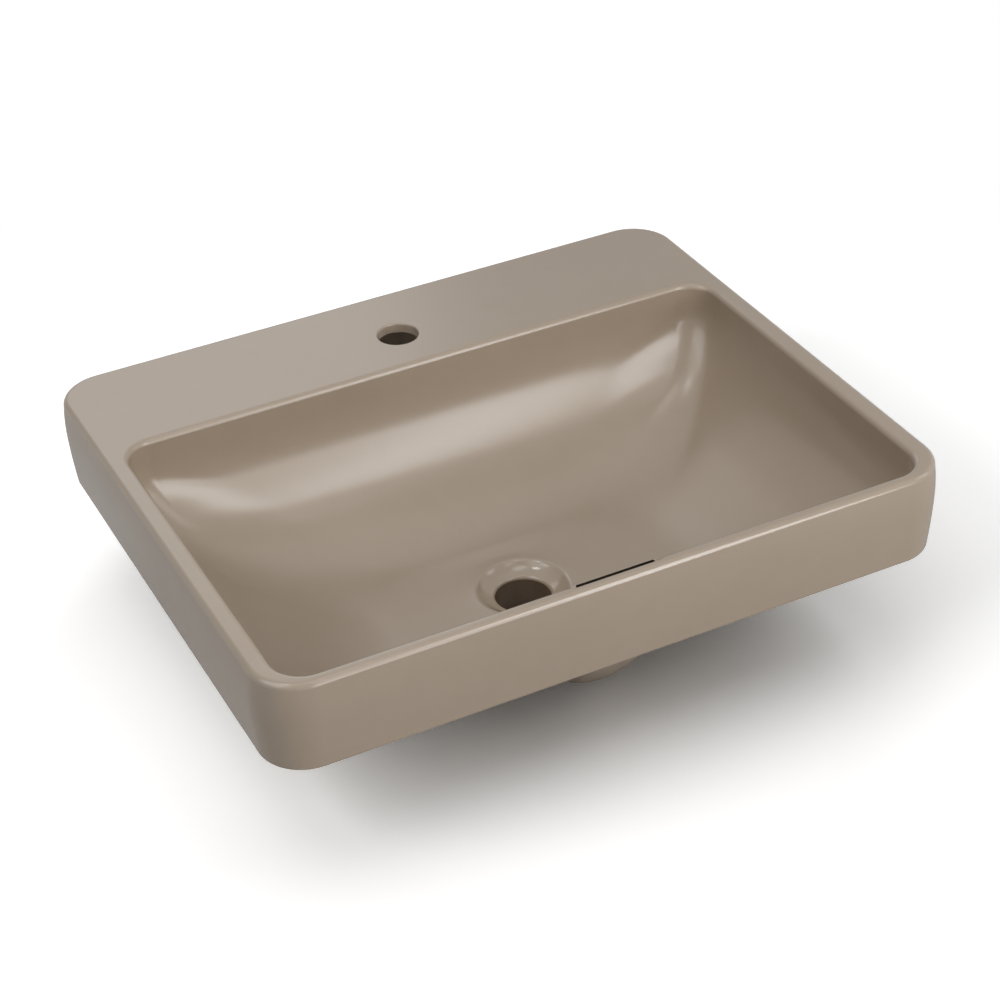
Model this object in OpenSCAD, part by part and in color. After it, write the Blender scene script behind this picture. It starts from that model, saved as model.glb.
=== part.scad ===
// Countertop basin in glazed ceramic, shown without its tap, waste or sealant.
// It is cast in pieces that are stuck together with slip and fired as one.
// The foot of the skirt stands on the worktop and the bowl hangs through a
// cut-out in it. The origin is in the middle of the foot, on the worktop.
// X runs to the right, Y to the back with the tap, and Z up.

/* [Outline] */
// Width of the basin, left to right
basin_w = 575; // [450:1:800]
// Depth of the basin, front to back
basin_d = 476; // [420:1:560]
// Height of the rim above the worktop
rim_h = 78; // [70:1:110]
// Radius of the outline's corners, seen from above
corner_r = 40; // [34:1:70]
// Radius of the rounding along the top outer edge
edge_r = 6; // [4:0.5:8]
// How far the skirt swells out below that rounding
swell = 1.3; // [0.2:0.1:3]
// How far the foot stands in from the widest line
foot_inset = 3.3; // [1:0.1:4]
// Radius of the rounding under the foot
foot_r = 2; // [1:0.5:3]

/* [Rim and tap deck] */
// Height of the rim casting
rim_band_h = 20; // [18:0.5:26]
// Width of the rim beside the bowl
side_rim_w = 19.5; // [18:0.5:40]
// Width of the rim in front of the bowl
front_rim_w = 14; // [14:0.5:20]
// Depth of the tap deck behind the bowl
tap_deck_d = 123; // [100:1:150]
// Corner radius of the bowl's mouth
mouth_corner_r = 25; // [20:1:40]
// Radius of the rounding along the mouth
mouth_edge_r = 5; // [3:0.5:6]
// Thickness of the tap deck
deck_t = 8; // [8:0.5:12]
// Radius of the tap hole
tap_hole_r = 17.5; // [14:0.5:20]
// Distance from the back edge to the middle of the tap hole
tap_hole_back = 72; // [55:1:80]
// Radius of the rounding round the tap hole
tap_lip_r = 1.5; // [0.5:0.5:3]
// Radius of the flat pad under the deck that the tap is clamped against
tap_pad_r = 32; // [26:1:40]
// How far that pad stands out under the deck
tap_pad_h = 1; // [0.5:0.5:3]

/* [Skirt] */
// Distance from the widest line to the skirt's inner face
skirt_t = 9; // [9:0.5:9]
// Height of the tongue that keys the rim into the skirt
key_h = 4; // [2:0.5:6]
// Width of that tongue
key_w = 3.5; // [2:0.5:4]

/* [Bowl] */
// Thickness of the bowl
bowl_t = 8; // [6:0.5:10]
// Thickness of the bowl's upright front wall
front_wall_t = 5; // [3:0.5:5]
// Depth of the bowl below the rim, without the fall of its floor
bowl_depth = 116; // [105:1:120]
// Fall of the bowl's floor towards the outlet
floor_fall = 6; // [3:0.5:8]
// How far the side walls curve in
side_run = 150; // [120:1:180]
// How far the front wall curves in
front_run = 105; // [95:1:110]
// How far the back wall curves in
back_run = 110; // [95:1:115]
// Corner radius of the floor
floor_corner_r = 60; // [50:1:60]

/* [Waste outlet] */
// Distance from the front edge to the middle of the outlet
outlet_front = 181; // [175:1:187]
// Radius of the outlet's bore
waste_r = 23; // [18:0.5:24]
// Outer radius of the outlet's flange
flange_r = 46; // [42:0.5:48]
// Height of the outlet, from its end to the flange
outlet_h = 43.6; // [37.6:0.2:75.6]
// Depth of the dish between the floor and the bore
dish_h = 5.5; // [3:0.5:8]
// Radius of the rounding at the top of the bore
throat_r = 2.5; // [1:0.5:4]
// Outer radius of the collar round the bore
collar_r = 36; // [33:0.5:38]
// How far the collar's shoulder reaches past the flange
shoulder_w = 6; // [3:0.5:8]
// Thickness of that shoulder
shoulder_t = 5; // [4:0.5:6]
// Radius of the fillet between the shoulder and the collar
shoulder_fillet_r = 6; // [3:0.5:8]

/* [Overflow] */
// Width of the overflow slot in the front wall
slot_w = 66; // [40:1:70]
// Height of the overflow slot
slot_h = 5; // [4.5:0.5:7]
// Distance from the rim's top down to the slot
slot_drop = 5; // [4:0.5:7]
// Depth of the pocket behind the slot, front to back
pocket_d = 4.5; // [4:0.5:5]
// Height of the pocket's lower end above the worktop
pocket_floor_z = 12; // [8:1:20]
// Thickness of the channel's cover under the bowl
cover_t = 6; // [4:0.5:7]
// Half width of the cover where it leaves the skirt
cover_front_half_w = 39; // [37:1:45]
// Half width of the cover at the collar
cover_back_half_w = 24; // [20:0.5:26]
// Height of the cover's underside at the skirt
cover_front_z = 2; // [0:0.5:4]
// Height of the outlet's port into the channel
port_h = 11; // [8:0.5:12]
// Width of the port
port_w = 22; // [16:1:24]
// Height of the port above the outlet's end
port_rise = 14; // [12:0.5:16]

/* [Deck ribs] */
// Thickness of each rib under the tap deck
rib_t = 8; // [6:0.5:12]
// Distance from the middle to each rib
rib_x = 110; // [80:1:150]
// Height of each rib at its middle
rib_h = 22; // [16:1:28]

/* [Hidden] */

// Gap that slip fills between curved pieces
slip_gap = 0.3;
// Overrun of cuts past the face that they leave
cut_over = 1;
$fn = 96;

glaze = [0.63, 0.58, 0.51];
bisque = [0.80, 0.76, 0.69];

// Share of the skirt's height over which the swell below the rim dies out
swell_share = 0.3;
// Share of the floor's fall that lies between its edge and the flange
flange_fall_share = 0.4;
// Share of a rib's height that its foot on the bowl reaches down
rib_foot_share = 2.2;
// Counts of steps along each curve
wall_steps = 10;
edge_steps = 6;
dish_steps = 8;

joint_z = rim_h - rim_band_h;
mouth_x = basin_w / 2 - side_rim_w;
mouth_front_y = -basin_d / 2 + front_rim_w;
mouth_back_y = basin_d / 2 - tap_deck_d;
skirt_in_y = -basin_d / 2 + skirt_t;
tap_y = basin_d / 2 - tap_hole_back;
outlet_y = -basin_d / 2 + outlet_front;
floor_z = rim_h - bowl_depth - floor_fall;
flange_z = floor_z - floor_fall * flange_fall_share;
outlet_z = flange_z - outlet_h;
flange_under_z = flange_z - bowl_t;
shoulder_r = flange_r + shoulder_w;
shoulder_under_z = flange_under_z - slip_gap - shoulder_t;
pocket_top_z = rim_h - slot_drop;
pocket_half_w = slot_w / 2 - 2 * cut_over;
port_floor_z = outlet_z + port_rise;

// Points of an arc round (x, y), from angle a0 to a1
function arc(x, y, r, a0, a1, steps) =
    [for (i = [0:steps]) let (a = a0 + (a1 - a0) * i / steps) [x + r * cos(a), y + r * sin(a)]];

// Inset of the skirt's outer face from the widest line at height z
function wall_inset(z) =
    let (a = (rim_h - edge_r - z) / (rim_h - edge_r - foot_r))
    a < swell_share ? swell * pow(1 - a / swell_share, 2)
                    : foot_inset * pow((a - swell_share) / (1 - swell_share), 1.6);

// Outer profile from height z0 up to z1 as [inset, z]
function wall_points(z0, z1) =
    [for (i = [0:wall_steps]) let (z = z0 + (z1 - z0) * i / wall_steps) [wall_inset(z), z]];

// A ring along the outline. Its profile is given as [inset, z], and all of it
// lies nearer to the outline than the corner radius.
module outline_ring(profile) {
    half_x = basin_w / 2 - corner_r;
    half_y = basin_d / 2 - corner_r;
    for (side = [0, 1])
        mirror([side, 0, 0]) {
            translate([basin_w / 2, half_y, 0])
                rotate([90, 0, 0])
                    linear_extrude(2 * half_y)
                        mirror([1, 0])
                            polygon(profile);
            translate([half_x, half_y, 0])
                ring_corner(profile);
            mirror([0, 1, 0])
                translate([half_x, half_y, 0])
                    ring_corner(profile);
        }
    for (side = [0, 1])
        mirror([0, side, 0])
            translate([-half_x, basin_d / 2, 0])
                rotate([90, 0, 90])
                    linear_extrude(2 * half_x)
                        mirror([1, 0])
                            polygon(profile);
}

// A quarter turn of the profile, which joins two straight sides
module ring_corner(profile) {
    rotate_extrude(angle = 90)
        translate([corner_r, 0])
            mirror([1, 0])
                polygon(profile);
}

// A block with upright rounded corners between two pairs of sides
module rounded_block(x0, x1, y0, y1, r, z0, z1) {
    translate([0, 0, z0])
        linear_extrude(z1 - z0)
            union() {
                translate([x0 + r, y0])
                    square([x1 - x0 - 2 * r, y1 - y0]);
                translate([x0, y0 + r])
                    square([x1 - x0, y1 - y0 - 2 * r]);
                for (x = [x0 + r, x1 - r], y = [y0 + r, y1 - r])
                    translate([x, y])
                        circle(r);
            }
}

// Half of the rounded mouth: an arc's outside, as a cut along a straight edge
function edge_cut_points() =
    concat([[0, -mouth_edge_r], [0, cut_over], [mouth_edge_r, cut_over]],
           [for (i = [0:edge_steps]) let (a = 90 + 90 * i / edge_steps)
               [mouth_edge_r + mouth_edge_r * cos(a), -mouth_edge_r + mouth_edge_r * sin(a)]]);

// The mouth's rounding, cut along its four sides and corners
module mouth_rounding() {
    in_x = mouth_x - mouth_corner_r;
    in_y0 = mouth_front_y + mouth_corner_r;
    in_y1 = mouth_back_y - mouth_corner_r;
    for (side = [0, 1])
        mirror([side, 0, 0]) {
            translate([mouth_x, in_y1, rim_h])
                rotate([90, 0, 0])
                    linear_extrude(in_y1 - in_y0)
                        polygon(edge_cut_points());
            for (end = [0, 1])
                translate([in_x, end == 0 ? in_y1 : in_y0, rim_h])
                    rotate([0, 0, -90 * end])
                        rotate_extrude(angle = 90)
                            translate([mouth_corner_r, 0])
                                polygon(edge_cut_points());
        }
    translate([-in_x, mouth_back_y, rim_h])
        rotate([90, 0, 90])
            linear_extrude(2 * in_x)
                polygon(edge_cut_points());
    mirror([0, 1, 0])
        translate([-in_x, -mouth_front_y, rim_h])
            rotate([90, 0, 90])
                linear_extrude(2 * in_x)
                    polygon(edge_cut_points());
}

// Where the rim's tongue lies, which stops short of the overflow pocket
module key_ring(extra, depth) {
    difference() {
        outline_ring([[skirt_t - key_w - extra, joint_z - depth],
                      [skirt_t - key_w - extra, joint_z + cut_over],
                      [skirt_t + (extra > 0 ? cut_over : 0), joint_z + cut_over],
                      [skirt_t + (extra > 0 ? cut_over : 0), joint_z - depth]]);
        translate([-slot_w + extra, -basin_d / 2 - cut_over, joint_z - 2 * key_h])
            cube([2 * (slot_w - extra), skirt_t + 3 * cut_over, 3 * key_h]);
    }
}

// The overflow pocket between the skirt and the bowl's front wall
module overflow_pocket(z0) {
    open_back = z0 < joint_z - cut_over ? cut_over : 0;
    translate([-pocket_half_w, skirt_in_y - pocket_d, z0])
        cube([2 * pocket_half_w, pocket_d + open_back, pocket_top_z - z0]);
}

// The cut that rounds the top of the tap hole, as [radius, z]
function tap_lip_points() =
    let (x = tap_hole_r + tap_lip_r)
    concat([[0, -tap_lip_r], [0, cut_over], [x, cut_over]],
           arc(x, -tap_lip_r, tap_lip_r, 90, 180, edge_steps));

module rim_and_tap_deck() {
    half_x = basin_w / 2 - corner_r + 2 * cut_over;
    half_y = basin_d / 2 - corner_r + 2 * cut_over;
    color(glaze)
        difference() {
            union() {
                outline_ring(concat(
                    wall_points(joint_z, rim_h - edge_r),
                    arc(swell + edge_r, rim_h - edge_r, edge_r, 180, 90, edge_steps),
                    [[corner_r - cut_over, rim_h], [corner_r - cut_over, joint_z]]));
                translate([-half_x, -half_y, joint_z])
                    cube([2 * half_x, 2 * half_y, rim_band_h]);
                key_ring(0, key_h);
            }
            rounded_block(-mouth_x, mouth_x, mouth_front_y, mouth_back_y, mouth_corner_r,
                          joint_z - cut_over, rim_h + cut_over);
            mouth_rounding();
            difference() {
                rounded_block(-mouth_x, mouth_x, mouth_back_y + bowl_t, basin_d / 2 - skirt_t,
                              mouth_corner_r, joint_z - key_h - cut_over, rim_h - deck_t);
                translate([0, tap_y, rim_h - deck_t - tap_pad_h])
                    cylinder(r = tap_pad_r, h = tap_pad_h + cut_over);
            }
            overflow_pocket(joint_z - cut_over);
            translate([-slot_w / 2, skirt_in_y - cut_over, pocket_top_z - slot_h])
                cube([slot_w, front_rim_w, slot_h]);
            translate([0, tap_y, joint_z])
                cylinder(r = tap_hole_r, h = rim_band_h + cut_over);
            translate([0, tap_y, rim_h])
                rotate_extrude()
                    polygon(tap_lip_points());
        }
}

module apron() {
    color(glaze)
        difference() {
            outline_ring(concat(
                [[skirt_t, 0]],
                arc(foot_inset + foot_r, foot_r, foot_r, 270, 180, edge_steps),
                [for (p = wall_points(foot_r, joint_z)) if (p[1] > foot_r) p],
                [[skirt_t, joint_z]]));
            key_ring(slip_gap, key_h + slip_gap);
            overflow_pocket(pocket_floor_z);
        }
}

// Levels and side insets of the bowl's inner face: a is 0 at the rim casting
// and 90 where the wall runs out into the floor
function inner_z(a) = rim_h - rim_band_h - (bowl_depth - rim_band_h) * sin(a) - floor_fall * (1 - cos(a));
function inner_r(a) = mouth_corner_r + (floor_corner_r - mouth_corner_r) * (1 - cos(a));

corner_steps = 10;
ring_n = 4 * (corner_steps + 1);
bowl_angles = [for (i = [0:15]) 6 * i];
floor_steps = 3;

// One ring of a rounded rectangle at height z, counted from the right side
function rect_ring(x, y0, y1, r, z) =
    [for (q = [0:3], j = [0:corner_steps])
        let (a = 90 * q + 90 * j / corner_steps,
             cx = (q == 0 || q == 3) ? x - r : r - x,
             cy = q < 2 ? y1 - r : y0 + r)
        [cx + r * cos(a), cy + r * sin(a), z]];

// One ring of a circle with as many points, turned to match the rectangle's
function round_ring(r, z) =
    [for (i = [0:ring_n - 1]) let (a = 360 * (i + 0.5) / ring_n) [r * cos(a), outlet_y + r * sin(a), z]];

function inner_ring(a) =
    rect_ring(mouth_x - side_run * (1 - cos(a)), mouth_front_y + front_run * (1 - cos(a)),
              mouth_back_y - back_run * (1 - cos(a)), inner_r(a), inner_z(a));

function outer_ring(a) =
    rect_ring(mouth_x - side_run * (1 - cos(a)) + bowl_t * cos(a),
              mouth_front_y + front_run * (1 - cos(a)) - front_wall_t * cos(a),
              mouth_back_y - back_run * (1 - cos(a)) + bowl_t * cos(a),
              inner_r(a) + front_wall_t * cos(a), inner_z(a) - bowl_t * sin(a));

function mix_rings(p, q, s) = [for (i = [0:ring_n - 1]) p[i] * (1 - s) + q[i] * s];

// Triangles between rings that follow each other, and round to the first
function loop_faces(rings) =
    [for (k = [0:rings - 1], i = [0:ring_n - 1])
        let (a = k * ring_n + i,
             b = k * ring_n + (i + 1) % ring_n,
             c = ((k + 1) % rings) * ring_n + i,
             d = ((k + 1) % rings) * ring_n + (i + 1) % ring_n)
        each [[a, c, b], [b, c, d]]];

module bowl() {
    inner_hole = round_ring(flange_r - cut_over, flange_z);
    outer_hole = round_ring(flange_r - cut_over, flange_under_z);
    inner = concat([for (a = bowl_angles) inner_ring(a)],
                   [for (k = [1:floor_steps]) mix_rings(inner_ring(90), inner_hole, k / floor_steps)]);
    outer = concat([for (k = [floor_steps:-1:1]) mix_rings(outer_ring(90), outer_hole, k / floor_steps)],
                   [for (i = [len(bowl_angles) - 1:-1:0]) outer_ring(bowl_angles[i])]);
    rings = concat(inner, outer);
    color(glaze)
        difference() {
            polyhedron(points = [for (r = rings) each r], faces = loop_faces(len(rings)));
            translate([0, outlet_y, flange_under_z - bowl_t])
                cylinder(r = flange_r, h = 3 * bowl_t);
        }
}

// The fillet below the outlet's shoulder as [radius, z], with a gap round it
function fillet_points(gap, a0, a1) =
    arc(collar_r + shoulder_fillet_r, shoulder_under_z - shoulder_fillet_r,
        shoulder_fillet_r - gap, a0, a1, edge_steps);

module drain_outlet() {
    dish_w = flange_r - slip_gap - waste_r - throat_r;
    color(glaze)
        difference() {
            translate([0, outlet_y, 0])
                rotate_extrude()
                    polygon(concat(
                        [for (i = [0:dish_steps]) let (t = i / dish_steps)
                            [flange_r - slip_gap - dish_w * t, flange_z - dish_h * t * t * (3 - 2 * t)]],
                        [for (i = [1:edge_steps]) let (a = 90 + 90 * i / edge_steps)
                            [waste_r + throat_r + throat_r * cos(a),
                             flange_z - dish_h - throat_r + throat_r * sin(a)]],
                        [[waste_r, outlet_z], [collar_r, outlet_z]],
                        fillet_points(0, 180, 90),
                        [[shoulder_r, shoulder_under_z], [shoulder_r, flange_under_z - slip_gap],
                         [flange_r - slip_gap, flange_under_z - slip_gap]]));
            translate([-port_w / 2, outlet_y - collar_r - cut_over, port_floor_z])
                cube([port_w, collar_r, port_h]);
        }
}

// The cover's underside falls from the skirt to the collar and levels out there
cover_start_y = skirt_in_y + slip_gap;
cover_end_y = outlet_y - collar_r;
cover_drop = cover_front_z - port_floor_z + cover_t;
// Powers that bend the underside and crowd the cover's stations at the skirt
cover_bend = 2.4;
station_bend = 1.4;
cover_steps = 16;
section_steps = 16;

function cover_share(y) = (y - cover_start_y) / (cover_end_y - cover_start_y);
function cover_under_z(y) = cover_front_z - cover_drop * (1 - pow(max(0, 1 - cover_share(y)), cover_bend));
function cover_half_w(y) =
    cover_front_half_w + (cover_back_half_w - cover_front_half_w) * min(1, cover_share(y));

// Height of the bowl's outer face above the cover at y
function bowl_under_z(y) =
    let (c = (mouth_front_y + front_run - y) / (front_run + front_wall_t),
         floor_front_y = mouth_front_y + front_run,
         t = min(1, (y - floor_front_y) / (outlet_y - flange_r - floor_front_y)),
         a = acos(min(1, max(0, c))))
    c >= 0 ? inner_z(a) - bowl_t * sin(a)
           : floor_z - bowl_t + (flange_under_z - floor_z + bowl_t) * t;

// A half round section at y, open towards the bowl
function cover_section(y, w, lift) =
    let (z0 = cover_under_z(y) + lift, z1 = bowl_under_z(y) - slip_gap)
    [for (i = [0:section_steps]) let (a = -90 + 180 * i / section_steps)
        [w * sin(a), y, z0 + (z1 - z0) * (1 - cos(a))]];

function reversed(v) = [for (i = [len(v) - 1:-1:0]) v[i]];

module overflow_cover() {
    last_y = outlet_y - collar_r / 2;
    stations = [for (i = [0:cover_steps])
        cover_start_y + (last_y - cover_start_y) * pow(i / cover_steps, station_bend)];
    n = 2 * (section_steps + 1);
    points = [for (y = stations)
        each concat(cover_section(y, cover_half_w(y), 0),
                    reversed(cover_section(y, cover_half_w(y) - cover_t, cover_t)))];
    sides = [for (k = [0:cover_steps - 1], i = [0:n - 1])
        let (a = k * n + i, b = k * n + (i + 1) % n, c = a + n, d = b + n)
        each [[a, b, c], [b, d, c]]];
    color(bisque)
        difference() {
            polyhedron(points = points,
                       faces = concat(sides, end_faces(0, n, true), end_faces(cover_steps * n, n, false)));
            translate([0, outlet_y, 0])
                rotate_extrude()
                    polygon(concat(
                        [[0, flange_under_z + bowl_t],
                         [shoulder_r + slip_gap, flange_under_z + bowl_t],
                         [shoulder_r + slip_gap, shoulder_under_z - slip_gap]],
                        fillet_points(slip_gap, 90, 180),
                        [[collar_r + slip_gap, outlet_z - cut_over], [0, outlet_z - cut_over]]));
        }
}

// The band of triangles that closes one end of the cover
function end_faces(base, n, front) =
    [for (i = [0:section_steps - 1])
        let (a = base + i, b = base + i + 1, c = base + n - 1 - i, d = base + n - 2 - i)
        each (front ? [[a, c, b], [b, c, d]] : [[a, b, c], [b, d, c]])];

// A rib between the bowl's back wall and the skirt, cut in an arch below
module deck_rib(x) {
    top_z = rim_h - deck_t - slip_gap;
    back_y = basin_d / 2 - skirt_t - slip_gap;
    foot_z = top_z - rib_foot_share * rib_h;
    wall = [for (a = bowl_angles)
        let (y = mouth_back_y - back_run * (1 - cos(a)) + bowl_t * cos(a), z = inner_z(a) - bowl_t * sin(a))
        if (z > foot_z) [y + slip_gap, z]];
    low = wall[len(wall) - 1];
    span = back_y - low[0];
    color(bisque)
        translate([x - rib_t / 2, 0, 0])
            rotate([90, 0, 90])
                linear_extrude(rib_t)
                    polygon(concat(
                        [[back_y, top_z], [mouth_back_y + bowl_t + slip_gap, top_z]],
                        wall,
                        [for (i = [1:edge_steps * 2]) let (t = i / (edge_steps * 2))
                            [low[0] + span * t, low[1] + (top_z - rib_h - low[1]) * sin(180 * t)]]));
}

module deck_rib_left() {
    deck_rib(-rib_x);
}

module deck_rib_right() {
    deck_rib(rib_x);
}

rim_and_tap_deck();
apron();
bowl();
drain_outlet();
overflow_cover();
deck_rib_left();
deck_rib_right();
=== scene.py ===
"""A countertop basin in satin taupe glaze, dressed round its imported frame."""
import logging
import math
from dataclasses import dataclass, field
from enum import Enum
from typing import Any, Callable, Sequence

import bmesh
import bpy
from mathutils import Matrix, Vector
from mathutils.geometry import delaunay_2d_cdt


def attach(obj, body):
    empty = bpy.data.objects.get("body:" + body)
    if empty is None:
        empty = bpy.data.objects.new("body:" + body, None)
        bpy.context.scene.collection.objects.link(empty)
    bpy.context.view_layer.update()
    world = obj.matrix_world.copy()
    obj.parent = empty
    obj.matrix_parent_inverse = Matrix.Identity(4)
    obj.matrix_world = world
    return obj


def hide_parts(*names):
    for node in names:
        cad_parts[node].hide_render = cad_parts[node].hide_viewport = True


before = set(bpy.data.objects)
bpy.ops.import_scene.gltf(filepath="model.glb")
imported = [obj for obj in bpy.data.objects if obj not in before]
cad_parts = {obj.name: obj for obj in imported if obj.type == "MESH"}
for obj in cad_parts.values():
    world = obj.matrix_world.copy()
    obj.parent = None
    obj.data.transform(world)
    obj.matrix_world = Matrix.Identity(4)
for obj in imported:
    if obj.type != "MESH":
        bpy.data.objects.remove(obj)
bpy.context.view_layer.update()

LOG = logging.getLogger("basin")
# One millimetre in metres, and how many micrometres and square millimetres a metre and its square hold
MM = 0.001
MICRONS = 1e6
SQUARE_MM = 1e6
# Smallest weight of a face in its points' normals, in square millimetres
LEAST_AREA = 1e-6
# How close two points of a filled plate may lie, and the choice to get only the triangles inside it
FILL_EPSILON = 1e-6
INSIDE_TRIANGLES = 1
# Colour sockets of a Mix node
MIX_A, MIX_B, MIX_RESULT = 6, 7, 2
Colour = tuple[float, float, float, float]
Pair = tuple[float, float]
Triple = tuple[float, float, float]
WHITE: Colour = (1.0, 1.0, 1.0, 1.0)


def ease(share: float) -> float:
    """Return a smooth step of a share, held between 0 and 1."""
    held = min(1.0, max(0.0, share))
    return held * held * (3.0 - 2.0 * held)


def spread(start: float, stop: float, steps: int) -> list[float]:
    """Return evenly spaced values with both ends among them."""
    return [start + (stop - start) * i / steps for i in range(steps + 1)]


def mix(first: float, second: float, share: float) -> float:
    """Return the value that lies at a share of the way between two."""
    return first + (second - first) * share


def put(name: str, data: Any) -> bpy.types.Object:
    """Put a new object with a mesh, a lamp or a camera into the scene.

    Args:
        name: Name of the object.
        data: What it holds.

    Returns:
        The object.
    """
    made = bpy.data.objects.new(name, data)
    bpy.context.scene.collection.objects.link(made)
    return made


class Patch(Enum):
    """Regions of a casting: faces of one region share their normals."""

    SKIN = "skin"
    SLOT_THROAT = "slot_throat"
    WASTE_BORE = "waste_bore"
    TAP_BORE = "tap_bore"
    TAP_PAD = "tap_pad"
    PAD_EDGE = "pad_edge"
    DECK_UNDERSIDE = "deck_underside"
    DECK_WALL = "deck_wall"
    JOINT = "joint"
    FOOT = "foot"
    INSIDE = "inside"
    UNDERSIDE = "underside"
    HOLE_WALL = "hole_wall"
    COLLAR = "collar"
    END = "end"
    SHOULDER = "shoulder"
    PORT = "port"
    COVER = "cover"
    CHANNEL = "channel"
    EDGE = "edge"


@dataclass(frozen=True)
class ColumnPlan:
    """Columns that all rings round the basin share, so that castings meet point to point."""

    corner_steps: int = 24
    side_steps: int = 14
    back_steps: int = 64
    wing_steps: int = 12
    slot_steps: int = 64
    slot_reach: float = 48.0
    bow_r: float = 220.0

    @property
    def slot_first(self) -> int:
        """Index of the first column beside the overflow slot."""
        return 2 * self.side_steps + 3 * self.corner_steps + self.back_steps + self.wing_steps

    @property
    def slot_last(self) -> int:
        """Index of the last column beside the overflow slot."""
        return self.slot_first + self.slot_steps

    def front_places(self, reach: float) -> list[float]:
        """Return the places along the front side, crowded where the slot is.

        Args:
            reach: Half length of the straight front side.

        Returns:
            Places from left to right, without the last one.
        """
        left = spread(-reach, -self.slot_reach, self.wing_steps)[:-1]
        middle = spread(-self.slot_reach, self.slot_reach, self.slot_steps)[:-1]
        right = spread(self.slot_reach, reach, self.wing_steps)[:-1]
        return left + middle + right

    def ring(self, half_x: float, front_y: float, back_y: float, radius: float, height: float,
             bow: float = 0.0) -> list[Vector]:
        """Return a rounded rectangle, anticlockwise from the front of its right side.

        Args:
            half_x: Half width.
            front_y: Place of the front side.
            back_y: Place of the back side.
            radius: Corner radius.
            height: Height of the ring.
            bow: Angle through which the back side bends forward before each of its corners.

        Returns:
            One point for each column.
        """
        inner_x = half_x - radius
        low = front_y + radius
        high = back_y - radius - (self.bow_r - radius) * (1.0 - math.cos(bow))
        bow_x = inner_x - (self.bow_r - radius) * math.sin(bow)
        back_x = inner_x + radius * math.sin(bow)
        points = [(half_x, y) for y in spread(low, high, self.side_steps)[:-1]]
        points += self.corner(inner_x, high, radius, 0.0, math.pi / 2.0 - bow)
        points += [
            (x, back_y - self.bow_depth(abs(x) - bow_x))
            for x in spread(back_x, -back_x, self.back_steps)[:-1]
        ]
        points += self.corner(-inner_x, high, radius, math.pi / 2.0 + bow, math.pi)
        points += [(-half_x, y) for y in spread(high, low, self.side_steps)[:-1]]
        points += self.corner(-inner_x, low, radius, math.pi, 1.5 * math.pi)
        points += [(x, front_y) for x in self.front_places(inner_x)]
        points += self.corner(inner_x, low, radius, 1.5 * math.pi, 2.0 * math.pi)
        return [Vector((x, y, height)) for x, y in points]

    def bow_depth(self, past: float) -> float:
        """Return how far the back side has bent forward at a distance past the start of its bow."""
        past = max(0.0, past)
        return self.bow_r - math.sqrt(self.bow_r**2 - past**2)

    def corner(self, x: float, y: float, radius: float, start: float, stop: float) -> list[Pair]:
        """Return the points of an arc, without the last one.

        Args:
            x: Middle of the arc.
            y: Middle of the arc.
            radius: Its radius.
            start: Angle at which it starts.
            stop: Angle at which it stops.

        Returns:
            Points as pairs.
        """
        angles = spread(start, stop, self.corner_steps)[:-1]
        return [(x + radius * math.cos(a), y + radius * math.sin(a)) for a in angles]


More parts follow.
